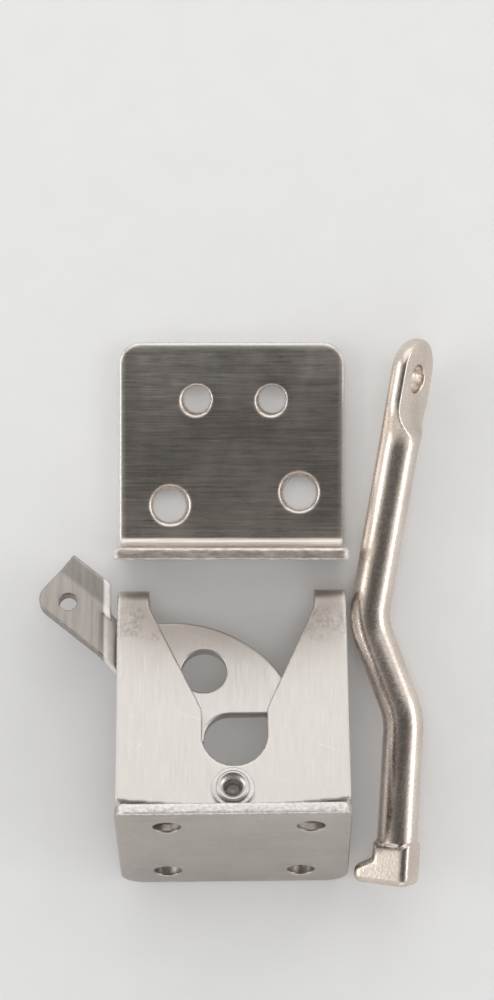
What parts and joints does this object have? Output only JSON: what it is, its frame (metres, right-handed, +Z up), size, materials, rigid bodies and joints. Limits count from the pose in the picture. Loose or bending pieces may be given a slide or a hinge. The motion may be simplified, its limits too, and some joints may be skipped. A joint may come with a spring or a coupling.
{
  "type": "gravity gate latch",
  "caption": "Self-adjusting gravity gate latch kit: swivelling folded latch with a drop pawl on a base plate, an L mounting bracket and a bent strike bar.",
  "frame": {"origin": "middle of the laid-out kit's footprint, on the surface it lies on", "axes": "+X to the right across the latch, +Y from the latch towards the mounting bracket, +Z up from the surface"},
  "size_m": [0.088, 0.1222, 0.0397],
  "materials": {
    "latch_sheet": "satin stainless steel with fine vertical grain",
    "pawl_steel": "satin stainless steel, punched edges",
    "plate_steel": "mill finish stainless steel, sheared edges",
    "rivet_steel": "rolled tubular rivet and washers",
    "bracket_steel": "stainless steel brushed across its width",
    "bar_steel": "tumbled stainless steel rod"
  },
  "bodies": {
    "base": {"base_plate": "plate_steel", "pivot_ear": "plate_steel", "pivot_rivet": "rivet_steel", "front_washer": "rivet_steel", "rear_washer": "rivet_steel", "front_spacer": "rivet_steel", "middle_spacer": "rivet_steel", "rear_spacer": "rivet_steel"},
    "housing": {"latch_housing": "latch_sheet"},
    "pawl": {"pawl": "pawl_steel"},
    "bracket": {"mounting_bracket": "bracket_steel"},
    "bar": {"strike_bar": "bar_steel"}
  },
  "joints": [
    {"name": "housing_swivel", "type": "hinge", "parent": "base", "child": "housing", "pos_m": [-0.00088, -0.03685, 0.03187], "axis": [-0.0048, 0.454, 0.891], "range_deg": [-0.4, 4.4]},
    {"name": "pawl_pivot", "type": "hinge", "parent": "housing", "child": "pawl", "pos_m": [-0.00088, -0.03685, 0.03187], "axis": [-0.0048, 0.454, 0.891], "range_deg": [0, 50]},
    {"name": "bracket_lift", "type": "slide", "parent": "base", "child": "bracket", "axis": [0, 0, 1], "range_m": [0, 0.06]},
    {"name": "bar_lift", "type": "slide", "parent": "base", "child": "bar", "axis": [0, 0, 1], "range_m": [0, 0.06]}
  ]
}
